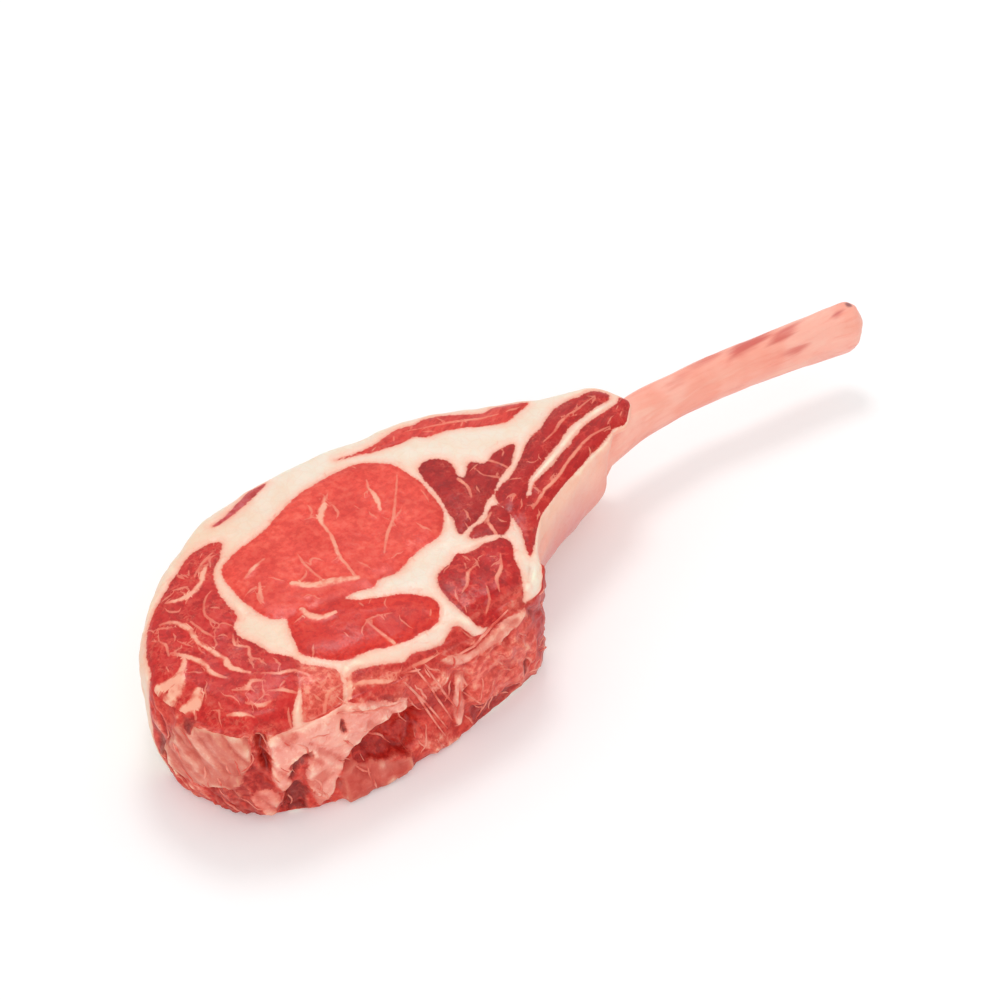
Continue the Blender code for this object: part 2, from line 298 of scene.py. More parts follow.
# Pale flaps of fat and gristle: colour, how far they stand out in mm, and the outline.
CHINE_FLAPS = [
    ((216, 116, 98), 1.6,
     [(24, 62), (32, 58), (39, 54), (42.5, 46), (41, 36), (35, 22), (26, 19), (17, 16), (10, 18),
      (4, 26), (8, 40), (16, 52)]),
    ((242, 158, 142), 1.2,
     [(49, 50), (57, 58), (66, 59), (77, 55), (88, 50), (98, 45), (107, 41), (108, 35), (98, 34),
      (90, 30), (83, 24), (77, 18), (74, 9), (67, 3), (64, 14), (62.5, 25), (65, 34), (59, 36),
      (55, 20), (50, 24), (49.5, 38)]),
    ((228, 128, 112), 0.8,
     [(14, 59), (17, 63), (23, 63), (27, 60), (20, 58)]),
    ((234, 142, 124), 1.0,
     [(122, 53), (131, 50), (140, 47), (150, 50), (160, 52), (168, 50), (162, 46), (150, 44),
      (138, 42), (128, 46)]),
    ((238, 150, 134), 0.9,
     [(131, 38), (135, 36), (134.5, 24), (134, 12), (131, 8), (130, 20)]),
    ((208, 88, 74), 1.6,
     [(76, 15), (84, 20), (92, 18), (99, 14), (106, 10), (107, 3), (98, 0), (86, -2), (77, 1)]),
    ((232, 128, 112), 1.0,
     [(44, 22), (50, 20), (52, 12), (49, 4), (43, 8), (40, 15)]),
]
# Bare lean and hollows: colour, how far they stand out (less than 0 is a hollow), and the outline.
CHINE_LEAN = [
    ((190, 40, 30), -3.2,
     [(85, 27), (92, 33), (99, 36), (107, 33), (113, 28), (114, 18), (108, 10), (98, 11),
      (90, 14), (82, 18)]),
    ((176, 44, 34), -3.0, [(48, 56), (45, 54), (43.5, 45), (45, 38), (48, 31), (49.5, 38), (48.5, 47)]),
    ((160, 52, 42), -2.4, [(65, 39), (60, 38), (56, 31), (57, 25), (61, 30), (64, 34)]),
    ((140, 62, 46), -2.2, [(79, 47.5), (80.8, 43.5), (79.6, 40), (77.4, 42.5), (77.6, 46)]),
    ((165, 48, 40), -1.6, [(15, 56), (22, 61.5), (21, 52), (19, 46), (15, 48)]),
    ((232, 94, 78), 1.4,
     [(136, 43), (146, 44), (156, 42), (165, 37), (172, 30), (172, 18), (164, 13), (152, 13),
      (140, 14), (136, 25)]),
    ((176, 44, 42), -1.2, [(138, 14), (150, 14), (158, 12), (166, 11), (158, 4), (148, 1), (139, 3)]),
    ((194, 48, 46), -0.6,
     [(168, 60), (176, 60), (184, 50), (190, 38), (190, 25), (182, 16), (172, 12), (174, 26),
      (172, 40), (166, 50)]),
    ((150, 44, 34), -1.8, [(165, 28), (167, 25), (167, 18), (165, 15), (163.6, 20)]),
    ((160, 60, 50), -1.0, [(-6, 34), (1, 33), (4, 28), (3, 21), (-4, 22)]),
    ((150, 36, 30), -2.6, [(54, 19), (59, 20), (62, 12), (62, 1), (55, -2), (53, 8)]),
    ((196, 66, 56), 0.8, [(26, 16), (34, 18), (42, 14), (45, 6), (40, 0), (30, 0), (24, 6)]),
]


def slab_mesh():
    """The CAD slab as one even, softened net of small faces."""
    body = bpy.data.objects["meat"].data.copy()
    holder = bpy.data.objects.new("slab_work", body)
    bpy.context.scene.collection.objects.link(holder)
    weld = holder.modifiers.new("weld", "WELD")
    weld.merge_threshold = WELD
    net = holder.modifiers.new("net", "REMESH")
    net.mode = "VOXEL"
    net.voxel_size = MESH_STEP
    bpy.context.view_layer.update()
    graph = bpy.context.evaluated_depsgraph_get()
    mesh = bpy.data.meshes.new_from_object(holder.evaluated_get(graph))
    bpy.data.objects.remove(holder, do_unlink=True)
    return mesh


def coordinates(mesh):
    values = np.empty(len(mesh.vertices) * 3, np.float32)
    mesh.vertices.foreach_get("co", values)
    return values.reshape(-1, 3).astype(float) / MM


def place(mesh, points):
    mesh.vertices.foreach_set("co", (points * MM).astype(np.float32).ravel())
    mesh.update()


def normals(mesh):
    values = np.empty(len(mesh.vertices) * 3, np.float32)
    mesh.vertices.foreach_get("normal", values)
    return values.reshape(-1, 3).astype(float)


def soften(mesh, values, rounds, amount=0.5):
    """Averages a value for each vertex with its neighbours' values."""
    ends = np.empty(len(mesh.edges) * 2, np.int32)
    mesh.edges.foreach_get("vertices", ends)
    first, second = ends.reshape(-1, 2).T
    count = np.bincount(ends, minlength=len(mesh.vertices))
    columns = values.reshape(len(values), -1).copy()
    for _ in range(rounds):
        for index in range(columns.shape[1]):
            column = columns[:, index]
            total = np.bincount(first, column[second], len(column))
            total += np.bincount(second, column[first], len(column))
            columns[:, index] += amount * (total / count - column)
    return columns.reshape(values.shape)


def store(mesh, name, values):
    """Keeps a number or a colour for each vertex, for the material to read."""
    if values.ndim == 1:
        layer = mesh.attributes.new(name, "FLOAT", "POINT")
        layer.data.foreach_set("value", values.astype(np.float32))
    else:
        layer = mesh.color_attributes.new(name, "FLOAT_COLOR", "POINT")
        rgba = np.ones((len(values), 4), np.float32)
        rgba[:, :3] = values
        layer.data.foreach_set("color", rgba.ravel())


def mix(first, second, share):
    """Between two values or two colours, each one for all vertices or one a vertex."""
    first, second = np.asarray(first), np.asarray(second)
    colour = 3 in (first.shape[-1:] + second.shape[-1:])
    return first + (second - first) * (share[:, None] if colour else share)


def fine_strands():
    """Short wandering strands that follow the grain, which turns from along the left rim to along the rib."""
    rng = np.random.default_rng(23)
    strands = []
    for name, (count, most_steps) in FINE_STRANDS.items():
        outline = np.array(MUSCLES[name][2], float)
        tries = rng.uniform(outline.min(0), outline.max(0), (600, 2))
        for x, y in tries[depth_inside(tries, outline) > 1.0][:count]:
            heading = np.radians(np.interp(x, (-90, -50, 0, 60, 140), (105, 55, 75, 40, 20)))
            heading += rng.normal(0, 0.5) + np.pi * rng.integers(2)
            width = rng.uniform(0.55, 1.2)
            count_of_steps = rng.integers(1, most_steps + 1)
            strand = []
            for step in range(count_of_steps + 1):
                swell_here = np.sin(np.pi * (step + 0.4) / (count_of_steps + 0.8))
                strand.append((x, y, width * swell_here))
                heading += rng.normal(0, 0.38)
                x += STRAND_STEP * np.cos(heading)
                y += STRAND_STEP * np.sin(heading)
            strands.append(strand)
    return strands


slab = slab_mesh()
rest = soften(slab, coordinates(slab), 14)
rest[:, 2] = np.clip(rest[:, 2], 0, SLAB_TOP)
place(slab, rest)
facing = soften(slab, normals(slab), 4)
facing /= np.linalg.norm(facing, axis=1)[:, None]

# Near the rib the meat clings to the bone, so its channel is drawn in until it touches.
rib_frame = bpy.data.objects["rib_bone"].data
rib_tree = BVHTree.FromPolygons(
    [v.co.copy() for v in rib_frame.vertices], [tuple(p.vertices) for p in rib_frame.polygons]
)
rib_gap = np.full(len(rest), NO_RIB)
for index, point in enumerate(rest):
    spot, _, _, gap = rib_tree.find_nearest(Vector(point * MM), RIB_NEAR * MM)
    if spot is not None:
        rib_gap[index] = gap / MM
        rest[index] += (np.array(spot) / MM - point) * ramp(-gap / MM, -2.8, -1.2)
# Its end beside the bone is a rounded lump, drawn in underneath.
narrow_end = ramp(rest[:, 0], 102, 118) * ramp(-rest[:, 2], -52, -42)
rest = mix(rest, soften(slab, rest, 60), narrow_end)
rest[:, 0] -= 7 * ramp(rest[:, 0], 108, 134) * ramp(-rest[:, 2], -27, -6)
place(slab, rest)
free = ramp(rib_gap, 1.5, 6.0)

# The muscles run down through the slab, drifting a little, so the lower cut face shows them too.
deep = ramp(SLAB_TOP - rest[:, 2], 12, SLAB_TOP)
drift = np.stack([cloud(rest, 45, 1), cloud(rest, 45, 2)], axis=1)
plan = rest[:, :2] * (1 + 0.04 * deep[:, None]) + deep[:, None] * (drift * 9 + (3, -2))

depths = np.stack([depth_inside(plan, outline) for _, _, outline in MUSCLES.values()])
lean = depths.max(axis=0)
weight = np.exp(np.clip(depths - lean, -10 * SEAM, 0) / SEAM)
weight /= weight.sum(axis=0)
colours = np.array([linear(*colour) for colour, _, _ in MUSCLES.values()])
lean_colour = weight.T @ colours
marbling = weight.T @ np.array([amount for _, amount, _ in MUSCLES.values()])
strand_across, strand_gap, strand_half = along_strand(plan, STRANDS + fine_strands())

# Fat: clean cream in the wide seams, warmer and pinker where it is thin.
from_the_left = ramp(rest[:, 0] + 12 * cloud(rest, 25, 27), -45, 5)
cream = mix(linear(243, 214, 189), linear(242, 225, 207), from_the_left)
seam_width = ramp(-lean, 0.5, 5.0)
fat_colour = mix(linear(250, 190, 168), cream, 0.35 + 0.65 * seam_width)

# The chine side: where each place lies along its rim, and how far in from it.
rim = np.array(CHINE_RIM, float)
lengths = np.linalg.norm(np.diff(rim, axis=0), axis=1)
starts = np.concatenate([[0], np.cumsum(lengths)]) - CHINE_START
off_rim = np.full(len(rest), np.inf)
along_rim = np.zeros(len(rest))
for start, end, length, offset in zip(rim, rim[1:], lengths, starts):
    away = rest[:, :2] - start
    share = np.clip(away @ (end - start) / length**2, 0, 1)
    gap = np.linalg.norm(away - share[:, None] * (end - start), axis=1)
    nearer = gap < off_rim
    off_rim = np.where(nearer, gap, off_rim)
    along_rim = np.where(nearer, offset + share * length, along_rim)
wall = ramp(-facing[:, 2], -0.72, -0.30) * ramp(facing[:, 2], -0.85, -0.55)
by_rim = ramp(along_rim, -9, -1) * ramp(-along_rim, -194, -188)
chine = wall * ramp(-off_rim, -16, -11) * by_rim
# The strip of the top face beside the torn side sinks towards it and lies in ragged layers.
strip = (1 - wall) * by_rim * ramp(facing[:, 2], 0.0, 0.5) * ramp(-off_rim, -13, -2)
sheet = np.stack([along_rim, rest[:, 2]], axis=1)

flap_depth = np.full(len(rest), -REACH)
flap_rise = np.zeros(len(rest))
flap_colour = linear(240, 150, 132)
ragged = 1.5 * cloud(rest, 5.0, 5) + 0.9 * cloud(rest, 2.2, 6)
on_chine = chine > 0.001
for colour, out, outline in CHINE_FLAPS:
    depth = np.full(len(rest), -REACH)
    depth[on_chine] = depth_inside(sheet[on_chine], outline)
    nearer = depth > flap_depth
    flap_depth = np.where(nearer, depth, flap_depth)
    flap_rise = np.maximum(flap_rise, 1.6 * out * ramp(depth + ragged, -0.4, 1.0))
    flap_colour = np.where(nearer[:, None], linear(*colour), flap_colour)
slanted = np.stack([along_rim + rest[:, 2] * 0.7, rest[:, 2] * 0.30, rest[:, 1] * 0.5], axis=1)
folds = 1 - np.abs(cloud(slanted, 4.5, 16)) * 2.5
crags = 1.3 * cloud(rest, 10, 17) + 0.9 * folds + 0.7 * cloud(rest, 3.4, 18)
sunken = ramp(cloud(rest, 13, 7) - 0.4 * folds, 0.0, 0.7)
# Darker red where sunken, partly uneven colour and partly painted shade in the fold valleys. Paler where the
# crags stand out, partly pale torn tissue and partly a painted highlight.
chine_colour = mix(linear(220, 66, 52), linear(186, 36, 26), sunken)
chine_colour = mix(chine_colour, linear(246, 134, 114), ramp(crags, 0.5, 1.8))
hollow = np.zeros(len(rest))
for colour, out, outline in CHINE_LEAN:
    depth = np.full(len(rest), -REACH)
    depth[on_chine] = depth_inside(sheet[on_chine], outline)
    depth += ragged
    chine_colour = mix(chine_colour, linear(*colour), ramp(depth, -0.8, 1.2))
    hollow += 1.3 * out * ramp(depth, -0.6, 2.6)
    flap_depth = np.minimum(flap_depth, -depth)

creases = np.abs(cloud(slanted * (1.0, 0.6, 1.0), 6.5, 24)) + 0.35 * cloud(rest, 3.5, 25)
# Painted shade in the crease valleys of the flaps, darker and redder, and a painted highlight on the folds
# between them, paler. The relief further down sinks and raises the flaps with the same creases.
flap_colour = flap_colour * mix((1.0, 1.0, 1.0), (0.84, 0.56, 0.52), ramp(-creases, -0.22, 0.05))
flap_colour = mix(flap_colour, linear(250, 186, 166), 0.5 * ramp(creases, 0.35, 0.8))

lean_colour = mix(lean_colour, chine_colour, chine)
fat_colour = mix(fat_colour, flap_colour, chine)
layers = np.stack([along_rim * 0.16, off_rim, rest[:, 2]], axis=1)
salmon = 0.75 * strip * ramp(cloud(layers, 2.6, 26), 0.0, 0.6)
lean_colour = mix(lean_colour, linear(240, 124, 104), salmon)
lean = mix(lean, -np.clip(flap_depth, -4, 4), chine)
marbling = mix(marbling, 0.55, chine)
strand_gap = mix(strand_gap, REACH, ramp(chine, 0.1, 0.5))

# Thin membrane covers the inner side, where the rib lies close under it.
inner = wall * ramp(rest[:, 0], 54, 60) * ramp(-rest[:, 1], -4, 2) * ramp(-facing[:, 1], 0.0, 0.4)
upper = ramp(rest[:, 2] + 5 * cloud(rest, 14, 9), 22, 52)
membrane = mix(linear(228, 152, 148), linear(250, 198, 174), upper)
fat_colour = mix(fat_colour, membrane, inner)
lean = mix(lean, BURIED, ramp(inner, 0.0, 0.5))
strand_gap = mix(strand_gap, REACH, ramp(inner, 0.1, 0.5))

# Round the bone, and at the end that it leaves by, the meat is wrapped in thin pink skin.
round_the_end = ramp(rest[:, 0], 96, 130) * ramp(-facing[:, 2], -0.75, -0.3)
sheath = np.maximum(ramp(-rib_gap, -3.4, -1.6), round_the_end)
fat_colour = mix(fat_colour, linear(249, 172, 152), 0.85 * sheath)
lean = mix(lean, BURIED, sheath)

# Relief. Each muscle swells a little between its seams, fat lies in soft lumps, and the chine side has
# raised flaps, torn edges and hollows.
swell = 0.55 * ramp(lean, 0.0, 6.0) - 0.45 * ramp(-np.abs(lean), -1.3, 0.0)
fat_lumps = (0.5 * cloud(rest, 9, 11) + 0.25 * cloud(rest, 4, 12)) * ramp(-lean, 0, 2)
lift = (swell + fat_lumps) * (1 - chine) + 0.35 * cloud(rest, 17, 13)
lift += 0.35 * ramp(-strand_gap, -0.6, 0.5) * (1 - chine)
edge_lumps = 1.0 * cloud(rest, 15, 14) + 0.45 * cloud(rest, 6, 15)
lift += edge_lumps * wall * (1 - chine) * (1 - 0.8 * inner)
lift += chine * (flap_rise + hollow + crags * (1 - 0.6 * ramp(flap_rise, 0.2, 1.0)))
lift += chine * ramp(flap_rise, 0.2, 1.0) * 1.5 * np.clip(creases - 0.3, -0.35, 0.6)
lift *= free
layer = cloud(layers, 3.2, 19) + 0.5 * cloud(layers, 1.7, 20)
drop = strip * (1.8 + 1.5 * cloud(rest, 12, 21) + 1.2 * layer)
low = ramp(rest[:, 2], 0.0, 3.0)
moved = rest + facing * lift[:, None] * np.where(facing[:, 2] < -0.6, 0.25, 1.0)[:, None]
moved[:, 2] = np.clip(moved[:, 2] - drop, 0.0, SLAB_TOP + TOP_RISE)
moved[:, 2] = rest[:, 2] * (1 - low) + moved[:, 2] * low
place(slab, moved)
place(slab, soften(slab, coordinates(slab), 1, 0.3))
# Pits are above zero here and ridges below it, in mm. The material paints shade into the pits and a highlight
# onto the ridges from it.
shaped = coordinates(slab)
cavity = ((soften(slab, shaped, 8) - shaped) * normals(slab)).sum(axis=1) * free

for name, values in {
    "cavity": cavity,
    "lean_depth": lean,
    "lean_colour": lean_colour,
    "fat_colour": fat_colour,
    "marbling": marbling,
    "strand_across": np.clip(strand_across, -9, 9),
    "strand_gap": strand_gap,
    "strand_half": strand_half,
    "by_rib": 0.8 * ramp(rest[:, 0], 48, 66),
    "chine": chine,
}.items():
    store(slab, name, values)


class Nodes:
    """Short ways to write a material's node tree."""

    def __init__(self, name):
        self.material = bpy.data.materials.new(name)
        self.material.use_nodes = True
        self.tree = self.material.node_tree
        self.shader = self.tree.nodes["Principled BSDF"]
        self.place = self.tree.nodes.new("ShaderNodeTexCoord").outputs["Object"]

    def link(self, socket, value):
        if isinstance(value, bpy.types.NodeSocket):
            self.tree.links.new(value, socket)
        elif isinstance(value, tuple):
            socket.default_value = (*value, 1.0) if len(socket.default_value) == 4 else value
        else:
            socket.default_value = value

    def number(self, name, output="Fac"):
        node = self.tree.nodes.new("ShaderNodeAttribute")
        node.attribute_name = name
        return node.outputs[output]

    def tint(self, name):
        return self.number(name, "Color")

    def flesh(self, weight, radius, scale):
        """Lets light a little way in: how much, how far as red, green and blue, and over what length."""
        self.shader.inputs["Subsurface Weight"].default_value = weight
        self.shader.inputs["Subsurface Radius"].default_value = radius
        self.shader.inputs["Subsurface Scale"].default_value = scale

    def math(self, operation, first, second=0.0):
        node = self.tree.nodes.new("ShaderNodeMath")
        node.operation = operation
        self.link(node.inputs[0], first)
        self.link(node.inputs[1], second)
        return node.outputs[0]

    def ramp(self, value, low, high, start=0.0, end=1.0):
        node = self.tree.nodes.new("ShaderNodeMapRange")
        node.interpolation_type = "SMOOTHSTEP"
        for socket, number in zip(node.inputs[:5], (value, low, high, start, end)):
            self.link(socket, number)
        return node.outputs["Result"]

    def mix(self, share, first, second, blend="MIX"):
        node = self.tree.nodes.new("ShaderNodeMix")
        node.data_type = "RGBA"
        node.blend_type = blend
        self.link(node.inputs["Factor"], share)
        self.link(node.inputs[6], first)
        self.link(node.inputs[7], second)
        return node.outputs[2]

    def noise(self, size, detail=2.0, distortion=0.0, roughness=0.5, place=None, output="Fac"):
        """Noise whose lumps are about this size in mm."""
        node = self.tree.nodes.new("ShaderNodeTexNoise")
        self.link(node.inputs["Vector"], place or self.place)
        self.link(node.inputs["Scale"], 1000.0 / size)
        self.link(node.inputs["Detail"], detail)
        self.link(node.inputs["Roughness"], roughness)
        self.link(node.inputs["Distortion"], distortion)
        return node.outputs[output]

    def cell_edges(self, size):
        """How far it is to the nearest wall of uneven cells about this size in mm."""
        bend = self.tree.nodes.new("ShaderNodeVectorMath")
        bend.operation = "MULTIPLY_ADD"
        self.link(bend.inputs[0], self.noise(size * 1.5, 2, output="Color"))
        bend.inputs[1].default_value = (size * 0.0008,) * 3
        self.link(bend.inputs[2], self.place)
        node = self.tree.nodes.new("ShaderNodeTexVoronoi")
        node.feature = "DISTANCE_TO_EDGE"
        self.link(node.inputs["Vector"], bend.outputs[0])
        self.link(node.inputs["Scale"], 1000.0 / size)
        return node.outputs["Distance"]

    def tinted(self, colour, red, green, blue):
        """The same colour with its red, green and blue scaled."""
        node = self.tree.nodes.new("ShaderNodeVectorMath")
        node.operation = "MULTIPLY"
        self.link(node.inputs[0], colour)
        node.inputs[1].default_value = (red, green, blue)
        return node.outputs[0]

    def stretched(self, times, heading):
        """The place, drawn out this many times along a level direction."""
        node = self.tree.nodes.new("ShaderNodeMapping")
        node.vector_type = "TEXTURE"
        self.link(node.inputs["Vector"], self.place)
        node.inputs["Rotation"].default_value = (0.0, 0.0, heading)
        node.inputs["Scale"].default_value = (times, 1.0, 1.0)
        return node.outputs["Vector"]

    def bump(self, height, distance, strength):
        node = self.tree.nodes.new("ShaderNodeBump")
        node.inputs["Distance"].default_value = distance
        node.inputs["Strength"].default_value = strength
        self.link(node.inputs["Height"], height)
        self.link(self.shader.inputs["Normal"], node.outputs["Normal"])


def meat_material():
    n = Nodes("raw_meat")
    amount = n.number("marbling")
    cavity = n.number("cavity")
    # The edge between lean and fat is uneven at three sizes.
    wander = n.math("MULTIPLY", n.math("SUBTRACT", n.noise(7, 2), 0.5), 2.2)
    fray = n.math("MULTIPLY", n.math("SUBTRACT", n.noise(1.6, 3, roughness=0.7), 0.5), 1.7)
    depth = n.math("ADD", n.number("lean_depth"), n.math("ADD", wander, fray))
    is_lean = n.ramp(depth, -0.35, 0.35)

    # Lean: its own red, blotched softly, with a grain of fibre bundles seen end on and a pale web of
    # tissue between them that shows more where the muscle carries more fat.
    lean = n.tint("lean_colour")
    lean = n.mix(n.ramp(n.noise(15, 2), 0.36, 0.66), lean, n.tinted(lean, 0.88, 0.68, 0.66))
    lean = n.mix(n.ramp(n.noise(5.5, 3), 0.46, 0.66, 0.0, 0.7), lean, n.tinted(lean, 1.05, 1.40, 1.35))
    by_rib = n.stretched(4.0, 0.38)
    grain = n.noise(2.7, 4, roughness=0.6)
    streaks = n.noise(1.9, 4, roughness=0.6, place=by_rib)
    grain = n.math("ADD", n.math("MULTIPLY", grain, n.math("SUBTRACT", 1.0, n.number("by_rib"))),
                   n.math("MULTIPLY", streaks, n.number("by_rib")))
    grain_share = n.ramp(amount, 0.2, 0.6, 0.45, 1.0)
    dark = n.math("MULTIPLY", n.ramp(grain, 0.50, 0.42), grain_share)
    lean = n.mix(dark, lean, n.tinted(lean, 0.80, 0.50, 0.46))
    light = n.math("MULTIPLY", n.ramp(grain, 0.52, 0.61), grain_share)
    lean = n.mix(n.math("MULTIPLY", light, 0.60), lean, n.tinted(lean, 1.08, 2.4, 2.5))
    blotch = n.ramp(n.noise(3.6, 3, 0.4, 0.62), 0.53, 0.64)
    blotch = n.math("MULTIPLY", blotch, n.ramp(amount, 0.45, 0.6, 0.1, 0.75))
    lean = n.mix(blotch, lean, linear(218, 64, 50))
    deeper = n.ramp(n.noise(4.6, 3, 0.4, 0.6), 0.46, 0.36)
    deeper = n.math("MULTIPLY", deeper, n.ramp(amount, 0.45, 0.6, 0.1, 0.8))
    lean = n.mix(deeper, lean, n.tinted(lean, 0.86, 0.55, 0.52))
    rim_share = n.math("MULTIPLY", n.ramp(depth, 0.2, 0.9), n.ramp(depth, 2.8, 1.0))
    lean = n.mix(n.math("MULTIPLY", rim_share, 0.40), lean, n.tinted(lean, 0.86, 0.58, 0.56))
    web = n.ramp(n.cell_edges(2.9), 0.16, 0.02)
    patch = n.ramp(n.noise(10, 2), 0.40, 0.66)
    web_share = n.math("MULTIPLY", n.math("MULTIPLY", web, patch), n.ramp(amount, 0.1, 1.0, 0.05, 0.22))

    # Marbling: soft flecks and short broken lines of fat.
    ridge = n.math("ABSOLUTE", n.math("SUBTRACT", n.noise(6.5, 4, 0.5, 0.6), 0.5))
    broken = n.ramp(n.noise(3.4, 3), 0.50, 0.66)
    width = n.math("MULTIPLY", n.math("MULTIPLY", amount, broken), 0.034)
    line = n.ramp(n.math("SUBTRACT", ridge, width), 0.020, -0.026)
    fleck_noise = n.noise(2.3, 4, 0.2, 0.62)
    fleck = n.ramp(n.math("ADD", fleck_noise, n.math("MULTIPLY", amount, 0.07)), 0.60, 0.74)
    marble = n.math("MULTIPLY", n.math("MAXIMUM", line, fleck), n.ramp(amount, 0.0, 0.9, 0.25, 0.48))
    fat_share = n.math("MAXIMUM", n.math("MULTIPLY", marble, patch), web_share)
    lean = n.mix(fat_share, lean, linear(236, 116, 92))

    # Strands of fat drawn through the lean, thick and pale in the middle and thin at their edges.
    wobble = n.math("MULTIPLY", n.math("SUBTRACT", n.noise(3.6, 4, roughness=0.6), 0.5), 2.4)
    across = n.math("ABSOLUTE", n.math("ADD", n.number("strand_across"), wobble))
    whole = n.ramp(n.noise(5.0, 3), 0.34, 0.56, 0.50, 1.0)
    strand = n.math("MULTIPLY", n.ramp(across, 1.9, 0.1), n.ramp(n.number("strand_gap"), 1.1, 0.0))
    strand = n.math("MULTIPLY", strand, whole)
    thick = n.ramp(n.number("strand_half"), 0.40, 1.0)
    blush = n.math("MULTIPLY", n.ramp(strand, 0.0, 0.6), n.ramp(thick, 0.0, 0.4, 0.50, 0.75))
    lean = n.mix(blush, lean, linear(238, 120, 96))
    pale = n.math("MULTIPLY", n.ramp(strand, 0.25, 0.85), n.ramp(thick, 0.0, 1.0, 0.16, 0.9))
    lean = n.mix(pale, lean, linear(248, 178, 150))

    # Fat: cream, pinker where it thins out against the lean, with faint lobes and threads of red.
    fat = n.tint("fat_colour")
    fat = n.mix(n.ramp(n.noise(11, 2), 0.40, 0.66, 0.0, 0.8), fat, n.tinted(fat, 1.0, 0.93, 0.88))
    fat = n.mix(n.ramp(n.cell_edges(4.5), 0.12, 0.0, 0.0, 0.35), fat, n.tinted(fat, 0.99, 0.88, 0.82))
    fat = n.mix(n.ramp(depth, -1.5, -0.2, 0.0, 0.55), fat, n.tinted(fat, 0.97, 0.60, 0.55))
    thread = n.ramp(n.noise(4.5, 4, 1.0), 0.60, 0.74)
    thread = n.math("MULTIPLY", thread, n.ramp(depth, -5.0, -1.5, 0.15, 0.5))
    fat = n.mix(thread, fat, n.tinted(fat, 0.96, 0.55, 0.50))

    colour = n.mix(is_lean, fat, lean)
    # Painted shade: pits are made darker and redder. Painted highlight: ridges are made paler.
    colour = n.mix(n.ramp(cavity, 0.08, 0.70, 0.0, 0.75), colour, n.tinted(colour, 0.74, 0.40, 0.36))
    colour = n.mix(n.ramp(cavity, -0.06, -0.60, 0.0, 0.8), colour, n.tinted(colour, 1.10, 1.70, 1.65))
    # On the torn side both lean and fat are stained and streaked.
    torn = n.number("chine")
    stain = n.math("MULTIPLY", n.ramp(n.noise(5.0, 4, 0.8, 0.6), 0.50, 0.66), torn)
    colour = n.mix(n.math("MULTIPLY", stain, 0.6), colour, n.tinted(colour, 0.90, 0.55, 0.50))
    streak = n.math("MULTIPLY", n.ramp(n.noise(1.8, 3, 0.4, 0.6), 0.52, 0.68), torn)
    colour = n.mix(n.math("MULTIPLY", streak, 0.5), colour, n.tinted(colour, 1.12, 1.6, 1.55))
    n.link(n.shader.inputs["Base Color"], colour)
    gloss = n.ramp(n.noise(14, 3), 0.35, 0.65, 0.30, 0.52)
    n.link(n.shader.inputs["Roughness"], gloss)
    n.shader.inputs["IOR"].default_value = 1.38
    n.flesh(0.15, (1.0, 0.35, 0.25), 2 * MM)
    n.shader.inputs["Coat Weight"].default_value = 0.10
    n.shader.inputs["Coat Roughness"].default_value = 0.20
    relief = n.math("ADD", n.math("MULTIPLY", grain, 0.6), n.math("MULTIPLY", fat_share, 0.3))
    relief = n.math("ADD", relief, n.noise(3.6, 2))
    n.bump(relief, 0.0006, 0.4)
    return n.material


slab.shade_smooth()
meat = bpy.data.objects.new("beef_slab", slab)
bpy.context.scene.collection.objects.link(meat)
slab.materials.clear()
slab.materials.append(meat_material())
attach(meat, "root")
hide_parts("meat")

# ---------------------------------------------------------------------------------------------------
# The rib. One long bone, oval and gently bowed, that runs through the meat near its inner side and out
# at the tail. It was scraped bare, so it is smooth pale pink with faint grooves along it, a few streaks
# of red tissue and a blunt rounded end.
# ---------------------------------------------------------------------------------------------------

# The middle line in mm, and the thickness against the half width and half height.
RIB_LINE = [
    (50, -36, 38, 0.85), (58, -28.5, 38, 0.97), (69, -20.5, 38, 1.0), (84, -13, 38, 1.0),
    (100, -9, 38, 1.0), (115, -5.5, 37.5, 1.0), (128, -2, 37, 1.0), (142, 1, 36.5, 1.0),
    (156, 2.3, 36, 0.96), (173, 1.8, 35.5, 0.92), (191, 0.5, 35, 0.91), (212, -3.6, 35, 0.92),
    (232, -7.2, 34.5, 0.95), (251, -11, 34, 1.0), (273, -16.5, 34, 1.05),
]
RIB_HALF_WIDTH = 7.9 * MM
RIB_HALF_HEIGHT = 13.0 * MM
RIB_TIP = 9.0  # mm over which the free end closes
RIB_ROOT = 5.0


def rib_path():
    """The middle line as a curve whose radius closes at both ends."""
    line = smooth_line(RIB_LINE, 24)
    travelled = np.concatenate([[0], np.cumsum(np.linalg.norm(np.diff(line[:, :3], axis=0), axis=1))])
    total = travelled[-1]
    stations = np.concatenate([
        RIB_ROOT * (1 - np.cos(np.linspace(0.0, np.pi / 2, 9)))[:-1],
        np.arange(RIB_ROOT, total - RIB_TIP, 0.9),
        total - RIB_TIP * (1 - np.sin(np.linspace(0.0, np.pi / 2, 15))),
    ])
    line = np.stack([np.interp(stations, travelled, column) for column in line.T], axis=1)
    closing = np.minimum(np.minimum(stations / RIB_ROOT, (total - stations) / RIB_TIP), 1.0)
    radius = line[:, 3] * np.sqrt(np.clip(1 - (1 - closing) ** 2, 0.003, 1))
    curve = bpy.data.curves.new("rib_path", "CURVE")
    curve.dimensions = "3D"
    curve.twist_mode = "Z_UP"
    spline = curve.splines.new("POLY")
    spline.points.add(len(line) - 1)
    for point, (x, y, z, _), size in zip(spline.points, line, radius):
        point.co = (x * MM, y * MM, z * MM, 1.0)
        point.radius = size
    return curve


